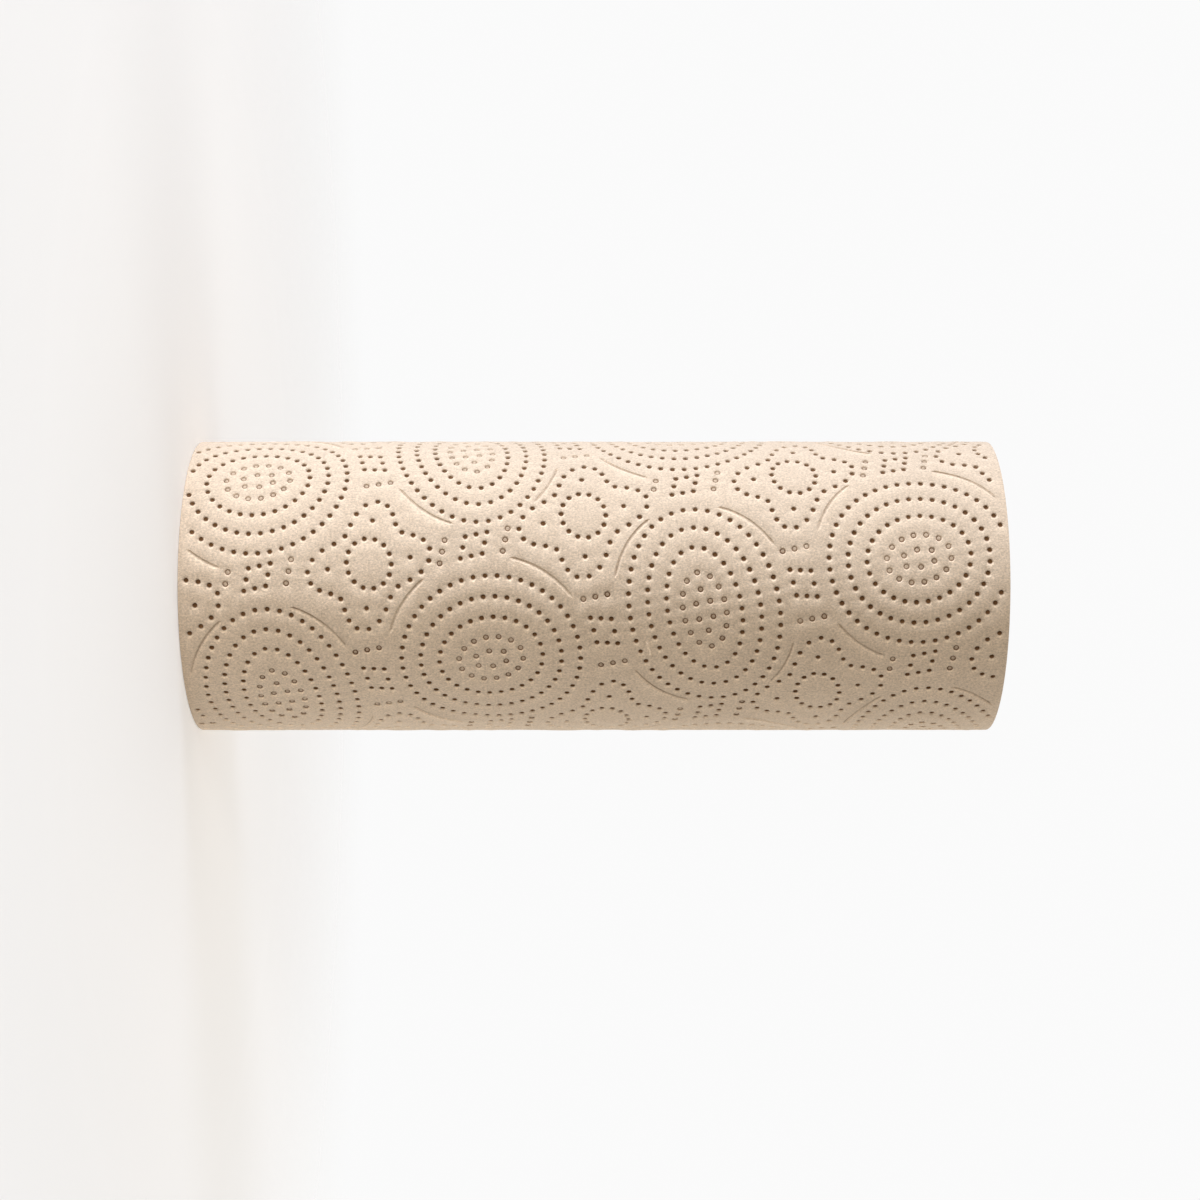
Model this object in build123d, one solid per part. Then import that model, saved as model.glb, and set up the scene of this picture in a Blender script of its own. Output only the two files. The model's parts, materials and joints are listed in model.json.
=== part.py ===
"""Paper towel roll, standing on its end: a two-ply kraft web wound on a cardboard core.

Frame, in millimetres: +Z up along the roll's axis, origin at the centre of the lower end.
The side that faces -Y is the front. Round the roll, places are given by their bearing,
counted from the front towards +X, and by their height above the roll's mid-width.
"""

from build123d import *

import os
from itertools import product
from math import ceil, cos, degrees, pi, radians, sin, sqrt

# The wound web
ROLL_WIDTH = 279.4
ROLL_DIAMETER = 103.0
SHEET_THICKNESS = 0.45

# The free end of the web: where its edge lies, and how far round the roll
# the outside climbs from the turn beneath to the turn on top
TAIL_BEARING = 115.0
TAIL_LAP = 50.0

# The flat spot where a soft roll has lain on its side
FLAT_BEARING = 180.0
FLAT_WIDTH = 14.0

# The cardboard core
CORE_BORE = 41.0
CORE_WALL = 0.6

# The turns on the cut ends: a spiral band of turns lies a little lower than the band beside it
BAND_PITCH = 6.6
BAND_WIDTH = 3.3
BAND_DEPTH = 0.5

# The embossing: rosettes of pits on a slanting grid, in turn wide and tall. The first rosette's middle,
# the steps to the next ones, and the half lengths of a rosette's heart and ring are each given as
# (along the roll, round it). Heart and ring lean, and their pits start a share of a step on from an end.
FIRST_ROSETTE = (-34.8, 26.2)
STEP_ALONG = (72.0, -17.6)
STEP_ROUND = (8.0, 83.4)
ROSETTE_LEAN = 11.0
WIDE_HEART = (8.5, 0.0)
WIDE_RING = (24.0, 22.0)
TALL_HEART = (0.0, 8.5)
TALL_RING = (18.7, 28.6)
HEART_PITS = 2
RING_PITS = 16
PIT_OFFSET = 0.25
PIT_WIDTH = 2.4
PIT_FOOT = 0.8
PIT_DEPTH = 0.9
PIT_CLEARANCE = 1.3

ROLL_RADIUS = ROLL_DIAMETER / 2
CORE_RADIUS = CORE_BORE / 2 + CORE_WALL
TAIL_STEP_RADIUS = ROLL_RADIUS - SHEET_THICKNESS
FLAT_DISTANCE = sqrt(ROLL_RADIUS**2 - (FLAT_WIDTH / 2) ** 2)


def outward(bearing):
    """The unit vector that points out of the roll at a bearing in degrees."""
    return Vector(sin(radians(bearing)), -cos(radians(bearing)), 0)


def web_section():
    """The web's outside: one round turn, then the lap that dips under the tail, and the tail's edge."""
    lap_end = TAIL_BEARING + TAIL_LAP
    with BuildSketch() as section:
        with BuildLine():
            turn = CenterArc((0, 0), ROLL_RADIUS, lap_end - 90, 360 - TAIL_LAP)
            lap = TangentArc(
                outward(lap_end) * ROLL_RADIUS,
                outward(TAIL_BEARING) * TAIL_STEP_RADIUS,
                tangent=(turn % 0) * -1,
            )
            Line(lap @ 1, turn @ 1)
        make_face()
        Circle(CORE_RADIUS, mode=Mode.SUBTRACT)
    return section.sketch


def spiral_arcs(first_radius, half_turns):
    """Half circles about two centres in turn, each meeting the last one smoothly: a spiral."""
    for k in range(half_turns):
        centre = (BAND_PITCH / 4 * (-1) ** (k + 1), 0)
        CenterArc(centre, first_radius + k * BAND_PITCH / 2, 180 * (k % 2), 180)


def winding_band():
    """The flat spiral of turns that lies lower on a cut end."""
    first_radius = CORE_RADIUS + BAND_PITCH / 2
    room = TAIL_STEP_RADIUS - BAND_WIDTH - BAND_PITCH / 2 - first_radius
    half_turns = int(room / (BAND_PITCH / 2))
    last_side = (-1) ** half_turns
    start = first_radius - BAND_PITCH / 4
    end = (start + half_turns * BAND_PITCH / 2) * last_side
    with BuildSketch() as band:
        with BuildLine():
            spiral_arcs(first_radius, half_turns)
            spiral_arcs(first_radius + BAND_WIDTH, half_turns)
            Line((start, 0), (start + BAND_WIDTH, 0))
            Line((end, 0), (end + BAND_WIDTH * last_side, 0))
        make_face()
    return band.sketch


def oval_of_pits(half_along, half_around, count):
    """Pits on a leaning oval, each as (along the roll, round it) from the oval's middle."""
    for pit in range(count):
        angle = 2 * pi * (pit + PIT_OFFSET) / count
        upright = Vector(half_along * cos(angle), half_around * sin(angle))
        yield upright.rotate(Axis.Z, -ROSETTE_LEAN)


def rosette(is_wide):
    """The pits of one rosette: its heart and its ring."""
    heart = WIDE_HEART if is_wide else TALL_HEART
    ring = WIDE_RING if is_wide else TALL_RING
    return [*oval_of_pits(*heart, HEART_PITS), *oval_of_pits(*ring, RING_PITS)]


def pit_places():
    """Every pit as (height from mid-width, distance round from the front), on more than one whole turn."""
    reach = ceil((ROLL_WIDTH + pi * ROLL_DIAMETER) / STEP_ALONG[0])
    cells = range(-reach, reach + 1)
    for column, row in product(cells, cells):
        middle = Vector(FIRST_ROSETTE) + Vector(STEP_ALONG) * column + Vector(STEP_ROUND) * row
        for pit in rosette(is_wide=(column + row) % 2 == 0):
            place = middle + pit
            yield place.X, place.Y


def is_clear(height, bearing):
    """True where a whole pit stays clear of the cut ends, the tail's edge and the flat spot."""
    reach = PIT_WIDTH / 2 + PIT_CLEARANCE
    turn_reach = degrees(reach / ROLL_RADIUS)
    half_flat = degrees(FLAT_WIDTH / 2 / ROLL_RADIUS)
    before_tail = TAIL_BEARING - bearing
    from_flat = abs((bearing - FLAT_BEARING + 180) % 360 - 180)
    return (
        abs(height) < ROLL_WIDTH / 2 - reach
        and turn_reach < before_tail < 360 - turn_reach
        and from_flat > half_flat + turn_reach
    )


def pit_punch():
    """A blunt punch with its foot down, which stands as far out of the roll as it reaches in."""
    top = 2 * PIT_WIDTH - PIT_FOOT
    side = (top - PIT_FOOT) / 2
    return Rot(-90, 0, 0) * Wedge(top, 2 * PIT_DEPTH, top, side, side, top - side, top - side)


def pit_tools():
    """The punch set square on the roll's outside at each pit of the embossing."""
    punch = pit_punch()
    tools = []
    for height, round_distance in pit_places():
        bearing = degrees(round_distance / ROLL_RADIUS)
        if is_clear(height, bearing):
            place = outward(bearing) * ROLL_RADIUS + Vector(0, 0, ROLL_WIDTH / 2 + height)
            seat = Plane(origin=place, x_dir=(0, 0, 1), z_dir=outward(bearing))
            tools.append(seat.location * punch)
    return tools


def paper_roll():
    """The wound web as one solid, with its tail, flat spot, turns and embossing."""
    web = extrude(web_section(), amount=ROLL_WIDTH)
    slab = Box(ROLL_DIAMETER, ROLL_DIAMETER, ROLL_WIDTH, align=(Align.CENTER, Align.MIN, Align.MIN))
    slab = Rot(0, 0, FLAT_BEARING - 180) * Pos(0, FLAT_DISTANCE, 0) * slab
    lower_band = extrude(winding_band(), amount=BAND_DEPTH)
    upper_band = Pos(0, 0, ROLL_WIDTH - BAND_DEPTH) * lower_band
    return web.cut(slab, lower_band, upper_band).cut(*pit_tools())


def core_tube():
    """The cardboard tube that the web is wound on, cut flush with it."""
    ring = Circle(CORE_RADIUS) - Circle(CORE_BORE / 2)
    return extrude(ring, amount=ROLL_WIDTH)


os.makedirs("parts", exist_ok=True)
export_step(paper_roll(), "parts/paper_roll.step")
export_step(core_tube(), "parts/core_tube.step")
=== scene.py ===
import json
from bisect import bisect_left
from itertools import product
from math import ceil, cos, floor, hypot, pi, radians, sin

import bmesh
import bpy
from mathutils import Matrix, Vector, geometry, kdtree, noise


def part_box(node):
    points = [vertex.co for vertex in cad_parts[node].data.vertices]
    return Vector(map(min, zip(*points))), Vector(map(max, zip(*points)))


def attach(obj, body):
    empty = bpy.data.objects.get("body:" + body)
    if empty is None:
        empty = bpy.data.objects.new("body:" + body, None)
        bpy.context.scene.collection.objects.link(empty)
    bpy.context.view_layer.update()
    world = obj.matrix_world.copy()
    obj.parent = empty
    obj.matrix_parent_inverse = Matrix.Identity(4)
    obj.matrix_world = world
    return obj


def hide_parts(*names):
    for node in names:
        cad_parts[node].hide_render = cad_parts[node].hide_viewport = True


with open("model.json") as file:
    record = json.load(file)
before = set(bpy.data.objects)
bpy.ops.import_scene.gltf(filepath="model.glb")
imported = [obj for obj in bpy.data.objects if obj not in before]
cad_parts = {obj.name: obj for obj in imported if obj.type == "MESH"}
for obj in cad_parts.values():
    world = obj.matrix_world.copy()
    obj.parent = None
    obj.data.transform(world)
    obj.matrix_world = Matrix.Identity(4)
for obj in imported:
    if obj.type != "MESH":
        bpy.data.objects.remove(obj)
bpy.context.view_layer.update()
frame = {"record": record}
bpy.context.scene.view_settings.view_transform = "Standard"


# The core: a tube of two plies of grey-brown chipboard. Each ply is a strip wound round in a spiral
# until its edges meet, the two are glued half a strip apart, and the tube is sawn to the web's width.
MM = 0.001
STRIP_RISE = 92 * MM
FIRST_SEAM = 31 * MM
BUTT_GAP = 0.6 * MM
PLY_GAP = 0.01 * MM
STEPS_PER_TURN = 72
BOARD_DARK = (0.36, 0.27, 0.18)
BOARD_LIGHT = (0.5, 0.39, 0.28)
core_low, core_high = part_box("core_tube")
mounts = {mount["name"]: mount for mount in frame["record"]["mounts"]}
bore_radius = mounts["core_bore"]["dims"]["r_mm"] * MM
core_radius = core_high.x
glue_radius = (bore_radius + core_radius) / 2


def wind_strip(tube, inner_radius, outer_radius, first_seam):
    """One strip of board wound up the tube, from well below its lower end to well above its upper end."""
    bottom = first_seam - 2 * STRIP_RISE
    top = bottom + STRIP_RISE - BUTT_GAP
    corners = ((inner_radius, bottom), (outer_radius, bottom), (outer_radius, top), (inner_radius, top))
    section = tube.faces.new([tube.verts.new((radius, 0, height)) for radius, height in corners])
    turns = ceil((core_high.z - bottom) / STRIP_RISE) + 1
    bmesh.ops.spin(
        tube,
        geom=[*section.verts, *section.edges],
        axis=(0, 0, 1),
        cent=(0, 0, 0),
        dvec=(0, 0, STRIP_RISE / STEPS_PER_TURN),
        angle=2 * pi * turns,
        steps=turns * STEPS_PER_TURN,
    )


def saw_off(tube, height, side):
    """Cuts the tube square at a height and closes the sawn edge of each ply."""
    whole = [*tube.verts, *tube.edges, *tube.faces]
    cut = bmesh.ops.bisect_plane(
        tube, geom=whole, plane_co=(0, 0, height), plane_no=(0, 0, side), clear_outer=True
    )
    rim = [part for part in cut["geom_cut"] if isinstance(part, bmesh.types.BMEdge)]
    bmesh.ops.edgeloop_fill(tube, edges=rim)


def make_piece(name, shape, sharp_angle):
    """A finished piece from its shape, smooth but for edges sharper than an angle in degrees."""
    bmesh.ops.triangulate(shape, faces=[face for face in shape.faces if len(face.verts) > 4])
    mesh = bpy.data.meshes.new(name)
    shape.to_mesh(mesh)
    shape.free()
    mesh.shade_smooth()
    mesh.set_sharp_from_angle(angle=radians(sharp_angle))
    piece = bpy.data.objects.new(name, mesh)
    bpy.context.scene.collection.objects.link(piece)
    return piece


core_shape = bmesh.new()
wind_strip(core_shape, bore_radius, glue_radius - PLY_GAP, FIRST_SEAM)
wind_strip(core_shape, glue_radius + PLY_GAP, core_radius, FIRST_SEAM + STRIP_RISE / 2)
saw_off(core_shape, core_low.z, -1)
saw_off(core_shape, core_high.z, 1)
bmesh.ops.recalc_face_normals(core_shape, faces=core_shape.faces)
core_board = make_piece("core_board", core_shape, sharp_angle=30)


def new_finish(name):
    """A new material, its node tree and its shader."""
    material = bpy.data.materials.new(name)
    material.use_nodes = True
    return material, material.node_tree, material.node_tree.nodes["Principled BSDF"]


def add_node(tree, kind, inputs=None, **settings):
    """A shader node with its settings, and with values on sockets that nothing is linked to."""
    node = tree.nodes.new(kind)
    for name, value in settings.items():
        setattr(node, name, value)
    for socket, value in (inputs or {}).items():
        node.inputs[socket].default_value = value
    return node


def grain(tree, place, scale, detail, roughness=0.6):
    """A noise that fills space, at about as many grains for each metre as its scale."""
    values = {"Scale": scale, "Detail": detail, "Roughness": roughness}
    texture = add_node(tree, "ShaderNodeTexNoise", values)
    tree.links.new(place, texture.inputs["Vector"])
    return texture.outputs["Fac"]


def ramp(tree, share, low, high, first, second):
    """A colour that goes from the first to the second as a share goes from low to high."""
    stops = add_node(tree, "ShaderNodeValToRGB")
    for stop, place, colour in zip(stops.color_ramp.elements, (low, high), (first, second)):
        stop.position = place
        stop.color = (*colour, 1)
    tree.links.new(share, stops.inputs["Fac"])
    return stops.outputs["Color"]


def shade(tree, colour, share, low, high, darkest, lightest):
    """A colour made darker or lighter, from darkest to lightest as a share goes from low to high."""
    limits = {"From Min": low, "From Max": high, "To Min": darkest, "To Max": lightest}
    spread = add_node(tree, "ShaderNodeMapRange", limits)
    tree.links.new(share, spread.inputs["Value"])
    scaled = add_node(tree, "ShaderNodeVectorMath", operation="SCALE")
    tree.links.new(colour, scaled.inputs[0])
    tree.links.new(spread.outputs["Result"], scaled.inputs["Scale"])
    return scaled.outputs["Vector"]


def rough_up(tree, shader, height, depth):
    """Adds small relief to a surface, from a height share and the depth in metres that it stands for."""
    bump = add_node(tree, "ShaderNodeBump", {"Distance": depth})
    for coarser in shader.inputs["Normal"].links:
        tree.links.new(coarser.from_socket, bump.inputs["Normal"])
    tree.links.new(height, bump.inputs["Height"])
    tree.links.new(bump.outputs["Normal"], shader.inputs["Normal"])


def chipboard():
    """Recycled board: grey-brown and cloudy, with pale and dark specks of pulp."""
    material, tree, shader = new_finish("chipboard")
    place = add_node(tree, "ShaderNodeTexCoord").outputs["Object"]
    colour = ramp(tree, grain(tree, place, 260, 5), 0.3, 0.7, BOARD_DARK, BOARD_LIGHT)
    colour = shade(tree, colour, grain(tree, place, 2200, 4, 0.75), 0.35, 0.65, 0.74, 1.16)
    colour = shade(tree, colour, grain(tree, place, 36, 2), 0.3, 0.7, 0.92, 1.08)
    tree.links.new(colour, shader.inputs["Base Color"])
    rough_up(tree, shader, grain(tree, place, 1500, 5, 0.7), 0.06 * MM)
    shader.inputs["Roughness"].default_value = 0.92
    shader.inputs["Specular IOR Level"].default_value = 0.2
    return material


core_board.data.materials.append(chipboard())
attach(core_board, "root")
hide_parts("core_tube")


# The wound web: one long strip of two-ply kraft tissue, wound tight on the core in some sixty-seven turns.
# Its cut edges show on both ends as a fine spiral, where bands of turns lie a little lower than the rest.
SHEET = 0.45 * MM
TAIL = radians(115)
LAP = radians(50)
FLAT_SPOT = radians(-180)
LEAST_FACING = 0.5
OUTER_TURNS = 3
BAND_PITCH = 6.6 * MM
BAND_WIDTH = 3.3 * MM
BAND_DROP = 0.5 * MM
BAND_EDGE = 0.6 * MM
TURN_EDGE = ((0.0, 1), (0.3, 0), (0.75, 0))
TURN_GROOVE = 0.3 * MM
TURN_WANDER = 0.2 * MM
WANDERS_PER_TURN = 5
END_STEPS = 80
MERGE = 0.0005 * MM
CUT_EDGE_DARK = (0.62, 0.48, 0.34)
CUT_EDGE_LIGHT = (0.76, 0.61, 0.45)
roll_low, roll_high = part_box("paper_roll")
roll_radius = roll_high.x
roll_middle = (roll_low.z + roll_high.z) / 2
half_width = roll_high.z - roll_middle
flat_distance = mounts["flat_spot"]["pos_m"][1]
outer_wall = OUTER_TURNS * SHEET


def web_radius(bearing):
    """How far out the web lies at a bearing, from under its tail once round the roll to the tail's edge."""
    past_tail = bearing - (TAIL - 2 * pi)
    still_to_climb = min(max(1 - past_tail / LAP, 0), 1)
    round_web = roll_radius - SHEET * still_to_climb**2
    facing_flat = max(cos(bearing - FLAT_SPOT), LEAST_FACING)
    return min(round_web, flat_distance / facing_flat)


def on_roll(bearing, radius, height):
    """A place on the roll. Bearings count from the front towards +X, and heights from the web's middle."""
    return Vector((radius * sin(bearing), -radius * cos(bearing), roll_middle + height))


def smooth_step(low, high, value):
    """Goes from 0 to 1 as a value goes from low to high, with no kink."""
    share = min(max((value - low) / (high - low), 0), 1)
    return share * share * (3 - 2 * share)


def end_drop(radius, winding, total_turns, side):
    """How far below the roll's end the edge of a turn lies, in the spiral bands and by its own wander."""
    across = (radius - core_radius - BAND_PITCH * winding) % BAND_PITCH
    in_band = smooth_step(0, BAND_EDGE, across) - smooth_step(BAND_WIDTH, BAND_WIDTH + BAND_EDGE, across)
    wander = 0.5 + 0.5 * noise.noise((total_turns * WANDERS_PER_TURN, side, 0))
    return BAND_DROP * in_band + TURN_WANDER * wander


def spiral_end(web, side):
    """One cut end: the rounded edges of all turns, spun once round and drawn out into a spiral."""
    first = len(web.verts)
    turns = range(-1, ceil((roll_radius - core_radius) / SHEET) + 1)
    edge = []
    for turn, (share, groove) in product(turns, TURN_EDGE):
        edge.append(web.verts.new(((turn + share) * SHEET, 0, groove)))
    lines = [web.edges.new(pair) for pair in zip(edge, edge[1:])]
    bmesh.ops.spin(web, geom=[*edge, *lines], axis=(0, 0, 1), cent=(0, 0, 0), angle=2 * pi, steps=END_STEPS)
    starts = [(vert.co.x, vert.co.z) for vert in edge]
    for index, vert in enumerate(list(web.verts)[first:]):
        winding = index // len(edge) / END_STEPS
        start, groove = starts[index % len(edge)]
        bearing = TAIL - 2 * pi + 2 * pi * winding
        radius = core_radius + start + SHEET * winding
        limit = web_radius(bearing) - outer_wall
        drop = end_drop(radius, winding, start / SHEET + winding, side) + TURN_GROOVE * groove
        if not core_radius < radius < limit:
            drop = BAND_DROP + TURN_GROOVE
        radius = min(max(radius, core_radius), limit)
        vert.co = on_roll(bearing, radius, side * (half_width - drop))


def join_ends(web, is_inner):
    """The wall between the two ends, at the core or under the outer turns."""
    half_way = (core_radius + roll_radius) / 2
    rims = []
    for edge in web.edges:
        middle = (edge.verts[0].co + edge.verts[1].co) / 2
        if edge.is_boundary and (hypot(middle.x, middle.y) < half_way) == is_inner:
            rims.append(edge)
    bmesh.ops.bridge_loops(web, edges=rims)


web_shape = bmesh.new()
spiral_end(web_shape, 1)
spiral_end(web_shape, -1)
bmesh.ops.remove_doubles(web_shape, verts=web_shape.verts, dist=MERGE)
join_ends(web_shape, True)
join_ends(web_shape, False)
bmesh.ops.recalc_face_normals(web_shape, faces=web_shape.faces)
wound_turns = make_piece("wound_turns", web_shape, sharp_angle=50)


def cut_edges():
    """The web's cut edges: pale kraft tissue, dusty, a little different from turn to turn."""
    material, tree, shader = new_finish("kraft_cut_edges")
    place = add_node(tree, "ShaderNodeTexCoord").outputs["Object"]
    colour = ramp(tree, grain(tree, place, 500, 5), 0.3, 0.7, CUT_EDGE_DARK, CUT_EDGE_LIGHT)
    colour = shade(tree, colour, grain(tree, place, 2600, 4, 0.75), 0.3, 0.7, 0.86, 1.1)
    tree.links.new(colour, shader.inputs["Base Color"])
    rough_up(tree, shader, grain(tree, place, 2600, 4, 0.7), 0.06 * MM)
    shader.inputs["Roughness"].default_value = 0.95
    shader.inputs["Specular IOR Level"].default_value = 0.15
    return material


wound_turns.data.materials.append(cut_edges())
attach(wound_turns, "root")
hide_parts("paper_roll")


# The outer turns: the end of the web, embossed all over by steel rolls with rosettes, stars and squares of
# pits, and with thin arcs between them. It is laid out flat, in millimetres along the roll and round it,
# pressed, and then wrapped round the turns beneath until its tail lies loosely on the lap.
FIRST_ROSETTE = Vector((-34.8, 26.2))
STEP_ALONG = Vector((72.0, -17.6))
STEP_ROUND = Vector((8.0, 83.4))
ROSETTE_LEAN = radians(11.5)
CELL_REACH = 6
flat_radius = roll_radius / MM
flat_half = half_width / MM
flat_sheet = SHEET / MM
flat_tail = flat_radius * TAIL
flat_start = flat_tail - 2 * pi * flat_radius


def evenly(low, high, step):
    """Places from low to high, about a step apart."""
    count = ceil((high - low) / step)
    return [low + (high - low) * k / count for k in range(count + 1)]


def leaning(place, row_lean, column_lean=None):
    """A motif's own place, turned by the motif's lean, or skewed by a lean each for rows and columns."""
    along, around = place
    column_lean = row_lean if column_lean is None else column_lean
    row = Vector((cos(row_lean), -sin(row_lean)))
    column = Vector((sin(column_lean), cos(column_lean)))
    return row * along + column * around


def oval(half_along, half_around, hollow=0.0):
    """A closed oval. Drawn in between its four ends, it becomes a star with round tips."""
    outline = []
    for degree in range(361):
        angle = radians(degree)
        reach = 1 - hollow * (1 - cos(4 * angle)) / 2
        outline.append(Vector((half_along * cos(angle), half_around * sin(angle))) * reach)
    return outline


def dots_round(outline, count):
    """Dots at equal distances round a closed outline, the first half a step from its start."""
    reached = [0.0]
    for here, there in zip(outline, outline[1:]):
        reached.append(reached[-1] + (there - here).length)
    dots = []
    for dot in range(count):
        distance = (dot + 0.5) / count * reached[-1]
        k = bisect_left(reached, distance)
        share = (distance - reached[k - 1]) / (reached[k] - reached[k - 1])
        dots.append(outline[k - 1].lerp(outline[k], share))
    return dots


RING_STEP = Vector((6.35, 7.05))
RING_DOTS = (26, 36, 46)
WIDE_RING = Vector((17.6, 15.0))
TALL_RING = Vector((12.4, 21.6))
WIDE_HEART = ((11.0, 8.2, 14), (6.2, 3.0, 6))
TALL_HEART = ((7.2, 13.0, 14), (2.6, 7.2, 6))
WIDE_ARC = (34.9, 36.1)
TALL_ARC = (30.6, 37.4)
ARC_TURN = evenly(radians(26), radians(68), radians(2.5))


def rosette(is_wide):
    """Three rings of pits about a heart of shallow ones, with an arc outside each quarter."""
    ring = WIDE_RING if is_wide else TALL_RING
    rings = []
    for k, count in enumerate(RING_DOTS):
        rings += dots_round(oval(*(ring + RING_STEP * k)), count)
    heart = []
    for half_along, half_around, count in WIDE_HEART if is_wide else TALL_HEART:
        heart += dots_round(oval(half_along, half_around), count)
    half_along, half_around = WIDE_ARC if is_wide else TALL_ARC
    arcs = []
    for right, up in product((1, -1), (1, -1)):
        arcs.append([Vector((right * half_along * cos(t), up * half_around * sin(t))) for t in ARC_TURN])
    return rings, heart, arcs


WIDE_STAR = (20.8, 22.8)
TALL_STAR = (22.4, 22.4)
WIDE_STAR_LEANS = (radians(8.5), radians(-3.0))
TALL_STAR_LEANS = (radians(14.0), radians(2.4))
STAR_HOLLOW = 0.365
STAR_DOTS = 31
STAR_RING = (7.5, 8.7)
STAR_RING_DOTS = 14
STAR_SINGLES = (14.0, 15.3)
STAR_SHIFT = Vector((-0.8, -0.4))


def star(tips, leans):
    """The star of pits in the middle of four rosettes, with a ring and four single pits in it."""
    dots = dots_round(oval(*tips, STAR_HOLLOW), STAR_DOTS)
    for side in (1, -1):
        dots.append(Vector((side * STAR_SINGLES[0], 0)))
        dots.append(Vector((0, side * STAR_SINGLES[1])))
    ring = dots_round(oval(*STAR_RING), STAR_RING_DOTS)
    return [leaning(dot, *leans) for dot in dots] + [leaning(dot, ROSETTE_LEAN) for dot in ring]


SQUARE_STEPS = ((3.5, 4.5), (3.75, 3.9))
SQUARE_LEANS = ((radians(-3), radians(14)), (radians(13), radians(-11)))
SQUARE_SHIFTS = (Vector((-0.3, -0.8)), Vector((-2.0, -1.2)))
TRIPLE_OFFSETS = (12.3, 10.8)
TRIPLE_STEP = 4.1


def link(axis):
    """A square of eight pits between two rows of three shallow ones, along the roll (0) or round it (1)."""
    places = (-1, 0, 1)
    row_lean, column_lean = SQUARE_LEANS[axis]
    row_step, column_step = SQUARE_STEPS[axis]
    square = []
    for column, row in product(places, places):
        if column or row:
            square.append(leaning((column * row_step, row * column_step), row_lean, column_lean))
    triples = []
    for side, place in product((-1, 1), places):
        triple = (place * TRIPLE_STEP, side * TRIPLE_OFFSETS[axis])
        turned = triple if axis == 0 else reversed(triple)
        triples.append(leaning(turned, ROSETTE_LEAN, column_lean))
    return square, triples


pits = []
shallow_pits = []
arcs = []
cells = range(-CELL_REACH, CELL_REACH + 1)
for column, row in product(cells, cells):
    is_wide = (column + row) % 2 == 0
    middle = FIRST_ROSETTE + STEP_ALONG * column + STEP_ROUND * row
    rings, heart, rosette_arcs = rosette(is_wide)
    pits += [middle + leaning(dot, ROSETTE_LEAN) for dot in rings]
    shallow_pits += [middle + leaning(dot, ROSETTE_LEAN) for dot in heart]
    arcs += [[middle + leaning(dot, ROSETTE_LEAN) for dot in arc] for arc in rosette_arcs]
    near, far = (WIDE_RING, TALL_RING) if is_wide else (TALL_RING, WIDE_RING)
    for step, axis in ((STEP_ALONG, 0), (STEP_ROUND, 1)):
        square, triples = link(axis)
        off_middle = (step.length + near[axis] - far[axis]) / 2
        between = middle + step.normalized() * off_middle + SQUARE_SHIFTS[axis]
        pits += [between + dot for dot in square]
        shallow_pits += [between + dot for dot in triples]
    star_middle = middle + (STEP_ALONG + STEP_ROUND) / 2 + STAR_SHIFT
    star_dots = star(WIDE_STAR, WIDE_STAR_LEANS) if is_wide else star(TALL_STAR, TALL_STAR_LEANS)
    pits += [star_middle + dot for dot in star_dots]

# What is pressed has room of its own: dots and arcs that would run into others or off the web are left out
ROOM = 3.2
LINE_ROOM = 2.48
TIP_ROOM = 1.8
EDGE_MARGIN = 1.8
taken = {}


def on_web(place):
    """True where a place lies on the outer turn, clear of its edges."""
    is_along = abs(place.x) < flat_half - EDGE_MARGIN
    return is_along and flat_start + EDGE_MARGIN < place.y < flat_tail - EDGE_MARGIN


def cell_of(place):
    """The cell that a place falls into, on a grid as wide as the room that a dot has."""
    return floor(place.x / ROOM), floor(place.y / ROOM)


def is_free(place, room):
    """True for a place on the web that is at least so far from all places taken before."""
    column, row = cell_of(place)
    cells_near = product((column - 1, column, column + 1), (row - 1, row, row + 1))
    others = [other for cell in cells_near for other in taken.get(cell, ())]
    return on_web(place) and all((place - other).length >= room for other in others)


def take(place):
    """Takes a place, so that nothing else is pressed there."""
    taken.setdefault(cell_of(place), []).append(place)


def take_free(dots):
    """Takes the places of those dots that are free, and returns them."""
    kept = []
    for dot in dots:
        if is_free(dot, ROOM):
            take(dot)
            kept.append(dot)
    return kept


PERFORATION = radians(-196)
SLIT_LENGTH = 4.6
SLIT_WIDTH = 0.3
SLIT_PITCH = 6.1
slits = []
slit_count = floor((flat_half - EDGE_MARGIN) * 2 / SLIT_PITCH)
for k in range(slit_count):
    slit = Vector(((k + 0.5 - slit_count / 2) * SLIT_PITCH, flat_radius * PERFORATION))
    slits.append(slit)
    for share in (-0.5, 0, 0.5):
        take(slit + Vector((share * SLIT_LENGTH, 0)))
pits = take_free(pits)
shallow_pits = take_free(shallow_pits)

SHORTEST_ARC = 8
SHORTEST_CREASE = 4


def take_free_lines(lines, shortest):
    """Takes the longest free stretch of each line, where it has enough places, and returns them all."""
    kept = []
    for line in lines:
        stretches = [[]]
        for place in line:
            room = LINE_ROOM if stretches[-1] else TIP_ROOM
            if is_free(place, room):
                stretches[-1].append(place)
            else:
                if is_free(place, TIP_ROOM):
                    stretches[-1].append(place)
                stretches.append([])
        longest = max(stretches, key=len)
        if len(longest) >= shortest:
            kept.append(longest)
            for place in longest:
                take(place)
    return kept


# A small crease stands up between two rings of one rosette
CREASE = ((17.4, 19.0), (18.0, 20.3), (18.2, 21.7), (18.9, 22.9), (19.0, 24.2), (19.8, 25.2))
crease = [Vector(place) for place in CREASE]
arcs = take_free_lines(arcs, SHORTEST_ARC)
creases = take_free_lines([crease], SHORTEST_CREASE)

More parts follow.
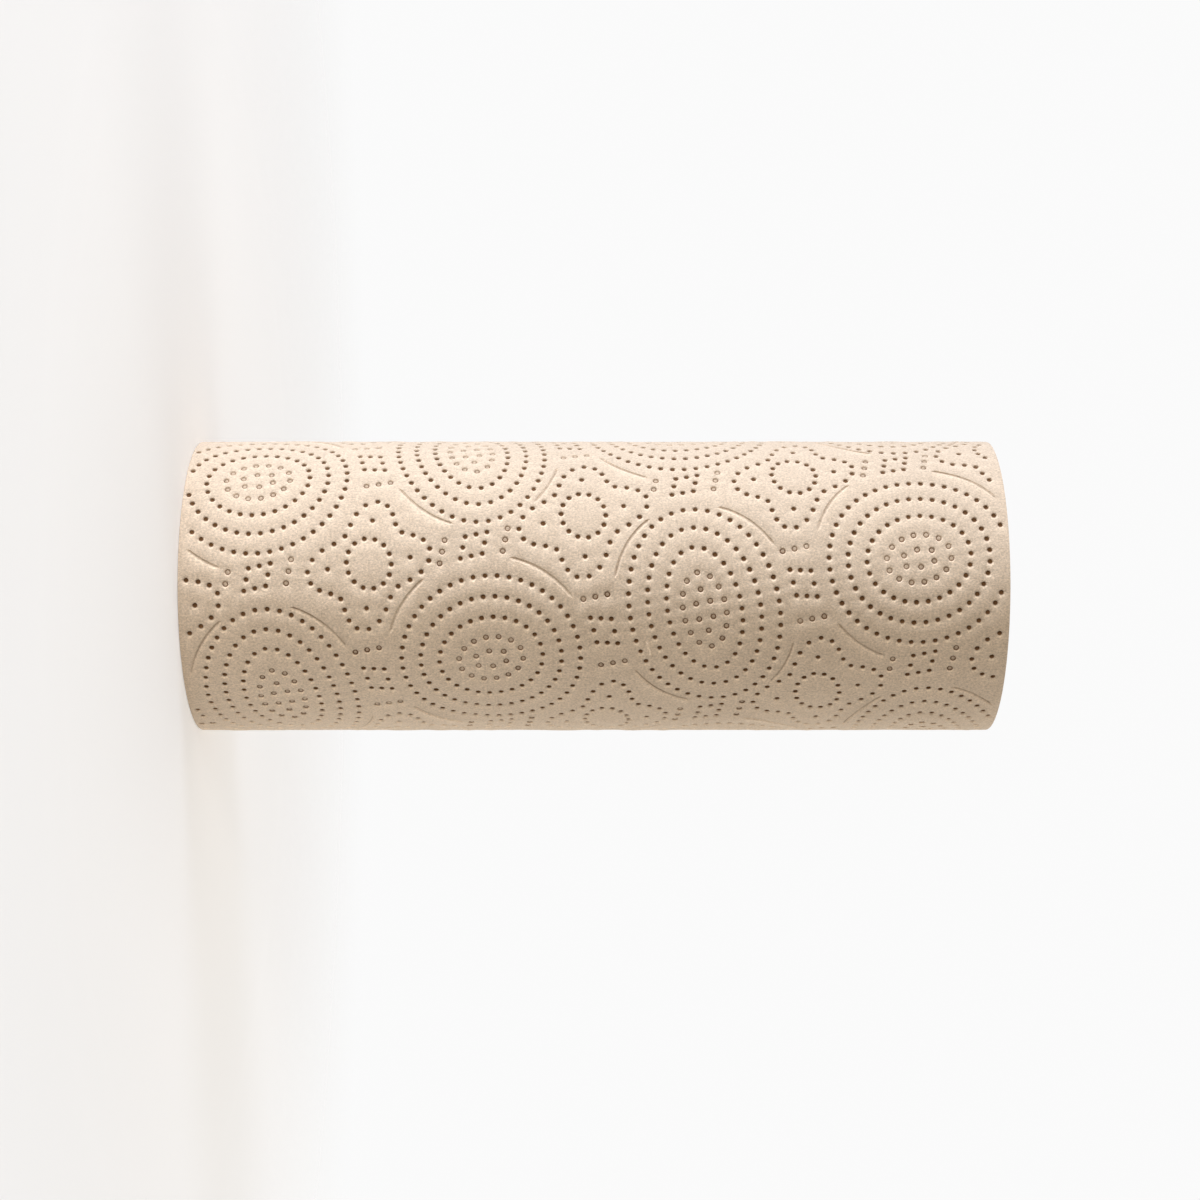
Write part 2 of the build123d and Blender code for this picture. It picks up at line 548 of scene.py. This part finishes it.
# The flat web, as a net of triangles that leaves out the outline of each thing that is pressed
PIT_SIZE = 1.55
SHALLOW_SIZE = 1.5
SIZE_WANDER = 0.03
PIT_SIDES = 8
ARC_WIDTH = 1.5
CREASE_WIDTH = 1.1
corners = []
outlines = []
pressed = {"pit": [], "shallow_pit": [], "slit": [], "arc": [], "crease": []}


def add_outline(kind, outline, strip=None):
    """Puts an outline into the flat web, and the faces that fill it: one face, or a strip of them."""
    first = len(corners)
    corners.extend(outline)
    whole = range(first, len(corners))
    outlines.append(list(whole))
    faces = strip or [range(len(outline))]
    pressed[kind] += [[whole[k] for k in face] for face in faces]


def add_dot(kind, middle, size):
    """One round pit."""
    place = Vector((middle.x, middle.y, 0))
    radius = size * (1 + SIZE_WANDER * noise.noise(place))
    first_angle = pi * noise.cell(place)
    angles = [first_angle + 2 * pi * k / PIT_SIDES for k in range(PIT_SIDES)]
    add_outline(kind, [middle + Vector((cos(angle), sin(angle))) * radius for angle in angles])


def add_line(kind, line, width):
    """One thin line as a strip, pointed at both ends."""
    left = []
    right = []
    for before, here, after in zip(line, line[1:], line[2:]):
        way = (after - before).normalized() * width / 2
        left.append(here + Vector((-way.y, way.x)))
        right.append(here + Vector((way.y, -way.x)))
    outline = [line[0], *right, line[-1], *reversed(left)]
    last = len(outline)
    strip = [(0, 1, last - 1)]
    strip += [(k, k + 1, last - k - 1, last - k) for k in range(1, len(right))]
    strip.append((len(right), len(right) + 1, len(right) + 2))
    add_outline(kind, outline, strip)


for dot in pits:
    add_dot("pit", dot, PIT_SIZE)
for dot in shallow_pits:
    add_dot("shallow_pit", dot, SHALLOW_SIZE)
for arc in arcs:
    add_line("arc", arc, ARC_WIDTH)
for ridge in creases:
    add_line("crease", ridge, CREASE_WIDTH)
for slit in slits:
    half_long = Vector((SLIT_LENGTH / 2, 0))
    half_wide = Vector((0, SLIT_WIDTH / 2))
    sides = (-half_long - half_wide, half_long - half_wide, half_long + half_wide, half_wide - half_long)
    add_outline("slit", [slit + corner for corner in sides])

NET = 3.0
NET_ROOM = 1.6
NET_TOLERANCE = 1e-6
EDGE_ROUND = 0.25
net_half = flat_half - EDGE_ROUND
along_lines = evenly(-net_half, net_half, NET)
round_lines = evenly(flat_start, flat_tail, NET)
border = [Vector((along, flat_start)) for along in along_lines[:-1]]
border += [Vector((net_half, around)) for around in round_lines[:-1]]
border += [Vector((along, flat_tail)) for along in reversed(along_lines[1:])]
border += [Vector((-net_half, around)) for around in reversed(round_lines[1:])]
first = len(corners)
corners.extend(border)
border_edges = [(first + k, first + (k + 1) % len(border)) for k in range(len(border))]
corner_tree = kdtree.KDTree(len(corners))
for index, corner in enumerate(corners):
    corner_tree.insert(corner.to_3d(), index)
corner_tree.balance()
for k, around in enumerate(round_lines[1:-1]):
    for along in along_lines[1:-1]:
        place = Vector((along + (k % 2 - 0.5) * NET / 2, around))
        if corner_tree.find(place.to_3d())[2] > NET_ROOM:
            corners.append(place)

net = geometry.delaunay_2d_cdt(corners, border_edges, outlines, 0, NET_TOLERANCE)
net_corners, _, net_faces, corner_sources, _, face_sources = net
outer_shape = bmesh.new()
net_verts = [outer_shape.verts.new((corner.x, corner.y, 0)) for corner in net_corners]
vert_of = {source: vert for vert, sources in zip(net_verts, corner_sources) for source in sources}
for face, sources in zip(net_faces, face_sources):
    if not sources:
        outer_shape.faces.new([net_verts[k] for k in face])
pressed_faces = {}
for kind, faces in pressed.items():
    pressed_faces[kind] = [outer_shape.faces.new([vert_of[k] for k in face]) for face in faces]
bmesh.ops.recalc_face_normals(outer_shape, faces=outer_shape.faces)

# The pressing, as steps of how far in from the outline and how far down. A shallow pit's middle comes up
# again, and the crease stands up. The web is dragged as it is pressed, so that what lies deepest lies a
# little back. Painted light goes on top: the slope that this draws out and the crease's crest get a painted
# highlight, the slope that it squeezes painted shade, and the bottoms dark brown painted shade. The loose
# tail is a single sheet, so there all of it is shallower than the sheet is thick
DOT_STEPS = {
    "pit": ((0.38, 0.14), (0.48, 0.62)),
    "shallow_pit": ((0.28, 0.12), (0.26, 0.45), (0.4, -0.22)),
    "slit": ((0.1, 0.4),),
}
LINE_STEPS = {
    "arc": ((0.1, 0.05), (0.46, 0.32)),
    "crease": ((0.12, -0.1), (0.3, -0.45)),
}
DRAG = {"pit": 0.4, "shallow_pit": 0.14, "slit": 0.0, "arc": 0.36, "crease": 0.0}
PRESS_WANDER = 0.25
PRESS_PATCH = 16.0
POCKET = 14.0
LOOSE_PRESS = 0.36
RIM_PRESS = 0.26
for kind, steps in DOT_STEPS.items():
    for inset, depth in steps:
        bmesh.ops.inset_individual(
            outer_shape, faces=pressed_faces[kind], thickness=inset, depth=-depth, use_even_offset=True
        )
for kind, steps in LINE_STEPS.items():
    for inset, depth in steps:
        bmesh.ops.inset_region(
            outer_shape, faces=pressed_faces[kind], thickness=inset, depth=-depth, use_even_offset=True
        )
for kind, drag in DRAG.items():
    deepest = {vert for face in pressed_faces[kind] for vert in face.verts}
    bmesh.ops.translate(outer_shape, verts=list(deepest), vec=(0, -drag, 0))
outer_shape.normal_update()
press = outer_shape.verts.layers.float.new("press")
painted_light_and_shade = outer_shape.verts.layers.float.new("painted_light_and_shade")
for vert in outer_shape.verts:
    along, around, height = vert.co
    height *= 1 + PRESS_WANDER * noise.noise((along / PRESS_PATCH, around / PRESS_PATCH, 0))
    is_bottom = height < -RIM_PRESS
    slope = 0 if is_bottom else -vert.normal.y
    # Painted highlight where a crest stands up or a slope faces back, painted shade where a slope faces
    # forward
    vert[painted_light_and_shade] = height if height > 0 else slope
    # How deep a bottom lies, for dark brown painted shade there
    vert[press] = -height if is_bottom else min(vert[painted_light_and_shade], 0)
    is_loose = around > flat_tail - POCKET - PIT_SIZE
    vert.co.z = max(height, -LOOSE_PRESS) if is_loose else height

# The web's edges: both cut ends, rounded turn by turn, and the tail with the pocket under it
ON_LINE = 1e-4
TURN_ROUND = ((0.16, 0.2), (0.5, EDGE_ROUND), (0.84, 0.2), (1.0, 0.0))
POCKET_STEPS = 5


def edges_on(axis, value):
    """The open edges of the flat web, before it is wrapped, that lie on a straight line."""
    found = []
    for edge in outer_shape.edges:
        ends = [vert.co for vert in edge.verts]
        if edge.is_boundary and all(abs(end[axis] - value) < ON_LINE and end.z == 0 for end in ends):
            found.append(edge)
    return found


def extrude_to(edges, place_at):
    """Extrudes open edges and moves each new corner to its new place."""
    made = bmesh.ops.extrude_edge_only(outer_shape, edges=edges)["geom"]
    for part in made:
        if isinstance(part, bmesh.types.BMVert):
            part.co = place_at(part.co)
    return [part for part in made if isinstance(part, bmesh.types.BMEdge)]


for side in (-1, 1):
    rim = edges_on(0, side * net_half)
    for turn, (share, out) in product(range(OUTER_TURNS), TURN_ROUND):
        depth = (turn + share) * flat_sheet
        rim = extrude_to(rim, lambda co: Vector((side * (net_half + out), co.y, -depth)))
tail_edge = extrude_to(edges_on(1, flat_tail), lambda co: Vector((co.x, co.y, -flat_sheet)))
lap_edge = edges_on(1, flat_start)
for _ in range(POCKET_STEPS):
    tail_edge = extrude_to(tail_edge, lambda co: co - Vector((0, POCKET / POCKET_STEPS, 0)))
    lap_edge = extrude_to(lap_edge, lambda co: co - Vector((0, POCKET / POCKET_STEPS, 0)))

# The soft web stands out a little between the pits, in patches, and along its tail
RISE = 0.16
RISE_FROM = (1.5, 3.8)
PATCH = 0.1
PATCH_SIZE = 9.0
EDGE_FADE = 6.0
TAIL_LIFT = 0.9
TAIL_WAVE = 38.0
TAIL_WAVE_SEED = 3
LEAST_WAVE = 0.1
dot_tree = kdtree.KDTree(len(pits) + len(shallow_pits))
for index, dot in enumerate(pits + shallow_pits):
    dot_tree.insert(dot.to_3d(), index)
dot_tree.balance()


def stand_out(along, around):
    """How far the soft web stands out at a place."""
    to_edge = min(net_half - abs(along), around - flat_start, flat_tail - POCKET - around)
    to_dot = dot_tree.find((along, around, 0))[2]
    rise = RISE * smooth_step(*RISE_FROM, to_dot)
    patch = PATCH * noise.noise((along / PATCH_SIZE, around / PATCH_SIZE, 0))
    loose = smooth_step(flat_tail - POCKET, flat_tail, around)
    curl = loose * smooth_step(0, EDGE_FADE, net_half - abs(along))
    wave = max(0.5 + noise.noise((along / TAIL_WAVE, TAIL_WAVE_SEED, 0)), LEAST_WAVE)
    return (rise + patch) * smooth_step(0, EDGE_FADE, to_edge) + TAIL_LIFT * wave * curl


sheet = outer_shape.verts.layers.float_vector.new("sheet")
for vert in outer_shape.verts:
    along, around, height = vert.co
    vert[sheet] = vert.co * MM
    bearing = around / flat_radius
    radius = web_radius(bearing) + (height + stand_out(along, around)) * MM
    vert.co = on_roll(bearing, radius, along * MM)
bmesh.ops.remove_doubles(outer_shape, verts=outer_shape.verts, dist=MERGE)
open_edges = [edge for edge in outer_shape.edges if edge.is_boundary]
bmesh.ops.holes_fill(outer_shape, edges=open_edges, sides=len(TURN_ROUND) + 1)
bmesh.ops.bridge_loops(outer_shape, edges=[edge for edge in outer_shape.edges if edge.is_boundary])
bmesh.ops.recalc_face_normals(outer_shape, faces=outer_shape.faces)
outer_turns = make_piece("outer_turns", outer_shape, sharp_angle=28)

KRAFT_DARK = (0.69, 0.555, 0.415)
KRAFT_LIGHT = (0.77, 0.625, 0.475)
UNPRESSED = (1, 1, 1)
PAINTED_BOTTOM_SHADE = (0.24, 0.15, 0.085)
FIBRE_SCALE = (0.8, 1, 1)


def kraft_tissue():
    """Unbleached tissue: warm beige and cloudy, with short fibres along the roll; its pressed bottoms get
    dark brown painted shade, and its slopes painted highlight and shade.
    """
    material, tree, shader = new_finish("kraft_tissue")
    place = add_node(tree, "ShaderNodeAttribute", attribute_name="sheet").outputs["Vector"]
    laid = add_node(tree, "ShaderNodeMapping", {"Scale": FIBRE_SCALE})
    tree.links.new(place, laid.inputs["Vector"])
    fibres = laid.outputs["Vector"]
    colour = ramp(tree, grain(tree, place, 420, 4), 0.3, 0.7, KRAFT_DARK, KRAFT_LIGHT)
    colour = shade(tree, colour, grain(tree, fibres, 1500, 4, 0.8), 0.3, 0.7, 0.66, 1.28)
    colour = shade(tree, colour, grain(tree, place, 30, 2), 0.3, 0.7, 0.97, 1.03)
    # Painted highlight on slopes that face back and on the crease's crest, painted shade on slopes that
    # face forward
    painted_light_share = add_node(tree, "ShaderNodeAttribute", attribute_name="painted_light_and_shade").outputs["Fac"]
    colour = shade(tree, colour, painted_light_share, 0, 0.4, 1, 1.34)
    colour = shade(tree, colour, painted_light_share, -0.5, 0, 0.85, 1)
    # Dark brown painted shade in the deepest parts of pits, slits and arcs
    depth = add_node(tree, "ShaderNodeAttribute", attribute_name="press").outputs["Fac"]
    painted_bottom_shade = ramp(tree, depth, 0.27, 0.55, UNPRESSED, PAINTED_BOTTOM_SHADE)
    tinted = add_node(tree, "ShaderNodeVectorMath", operation="MULTIPLY")
    tree.links.new(colour, tinted.inputs[0])
    tree.links.new(painted_bottom_shade, tinted.inputs[1])
    tree.links.new(tinted.outputs["Vector"], shader.inputs["Base Color"])
    rough_up(tree, shader, grain(tree, place, 260, 2), 0.15 * MM)
    rough_up(tree, shader, grain(tree, fibres, 1700, 5, 0.75), 0.2 * MM)
    shader.inputs["Roughness"].default_value = 0.95
    shader.inputs["Specular IOR Level"].default_value = 0.15
    shader.inputs["Sheen Weight"].default_value = 0.2
    return material


outer_turns.data.materials.append(kraft_tissue())
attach(outer_turns, "root")
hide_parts("paper_roll")


# The floor, lamps and camera: the roll stands on a pale floor that fades into a white surround, lit softly
# from one side. The camera looks level at the front and lies on its side, so that the roll lies across.
FLOOR_RADIUS = 1.2
FLOOR_DROP = 0.05 * MM
FLOOR_SIDES = 96
FLOOR_FADE = (0.12, 0.6)
FLOOR_GLOW = (0.2, 0.2, 0.2)
floor_shape = bmesh.new()
bmesh.ops.create_circle(floor_shape, cap_ends=True, segments=FLOOR_SIDES, radius=FLOOR_RADIUS)
bmesh.ops.translate(floor_shape, verts=floor_shape.verts, vec=(0, 0, roll_low.z - FLOOR_DROP))
floor_disc = make_piece("floor", floor_shape, sharp_angle=30)


def seen_colour(tree, sent_out, seen):
    """A glow of one colour for the light that it sends out, and of another where it is seen or mirrored."""
    ray = add_node(tree, "ShaderNodeLightPath")
    looked_at = ray.outputs["Is Camera Ray"]
    for kind in ("Is Glossy Ray", "Is Transmission Ray"):
        either = add_node(tree, "ShaderNodeMath", operation="MAXIMUM")
        tree.links.new(looked_at, either.inputs[0])
        tree.links.new(ray.outputs[kind], either.inputs[1])
        looked_at = either.outputs["Value"]
    return ramp(tree, looked_at, 0, 1, sent_out, seen)


def pale_floor():
    """A matt white floor that thins out to nothing away from the roll."""
    material, tree, shader = new_finish("pale_floor")
    shader.inputs["Base Color"].default_value = (0.9, 0.9, 0.9, 1)
    shader.inputs["Roughness"].default_value = 0.9
    shader.inputs["Emission Strength"].default_value = 1
    tree.links.new(seen_colour(tree, (0, 0, 0), FLOOR_GLOW), shader.inputs["Emission Color"])
    place = add_node(tree, "ShaderNodeTexCoord").outputs["Object"]
    distance = add_node(tree, "ShaderNodeVectorMath", operation="LENGTH")
    tree.links.new(place, distance.inputs[0])
    thinning = {"From Min": FLOOR_FADE[0], "From Max": FLOOR_FADE[1], "To Min": 1, "To Max": 0}
    cover = add_node(tree, "ShaderNodeMapRange", thinning, interpolation_type="SMOOTHSTEP")
    tree.links.new(distance.outputs["Value"], cover.inputs["Value"])
    tree.links.new(cover.outputs["Result"], shader.inputs["Alpha"])
    return material


floor_disc.data.materials.append(pale_floor())

AMBIENT = (0.255, 0.224, 0.188)
SURROUND = (0.96, 0.96, 0.96)
surround = bpy.data.worlds.new("surround")
surround.use_nodes = True
bpy.context.scene.world = surround
sky = surround.node_tree
background = sky.nodes["Background"]
background.inputs["Strength"].default_value = 1
sky.links.new(seen_colour(sky, AMBIENT, SURROUND), background.inputs["Color"])

LAMP_DISTANCE = 1.3


def soft_lamp(name, bearing, rise, size, power, colour=(1, 1, 1)):
    """A square soft box that faces the middle of the roll, at a bearing and a rise in degrees."""
    lamp = bpy.data.lights.new(name, "AREA")
    lamp.size = size
    lamp.energy = power
    lamp.color = colour
    holder = bpy.data.objects.new(name, lamp)
    level = LAMP_DISTANCE * cos(radians(rise))
    holder.location = on_roll(radians(bearing), level, LAMP_DISTANCE * sin(radians(rise)))
    to_roll = Vector((0, 0, roll_middle)) - holder.location
    holder.rotation_euler = to_roll.to_track_quat("-Z", "Y").to_euler()
    bpy.context.scene.collection.objects.link(holder)


soft_lamp("key_lamp", bearing=-76, rise=0, size=0.4, power=13.9, colour=(0.91, 1, 1.2))
soft_lamp("front_lamp", bearing=-30, rise=0, size=0.25, power=6.2, colour=(1, 0.98, 0.94))
soft_lamp("back_lamp", bearing=112, rise=0, size=0.7, power=9, colour=(1, 0.98, 0.94))
soft_lamp("top_lamp", bearing=150, rise=80, size=0.8, power=7)

VIEW_DISTANCE = 0.806
FOCAL_LENGTH = 67.5
SENSOR_WIDTH = 36.0
CAMERA_SHIFT_ALONG = 2.0 * MM
CAMERA_SHIFT_ROUND = 5.05 * MM
camera = bpy.data.cameras.new("camera")
camera.sensor_width = SENSOR_WIDTH
camera.lens = FOCAL_LENGTH
viewer = bpy.data.objects.new("camera", camera)
picture_right = Vector((0, 0, 1))
picture_up = Vector((-1, 0, 0))
towards_viewer = Vector((0, -1, 0))
turn = Matrix((picture_right, picture_up, towards_viewer)).transposed()
place = Vector((CAMERA_SHIFT_ROUND, -VIEW_DISTANCE, roll_middle + CAMERA_SHIFT_ALONG))
viewer.matrix_world = Matrix.Translation(place) @ turn.to_4x4()
bpy.context.scene.collection.objects.link(viewer)
bpy.context.scene.camera = viewer
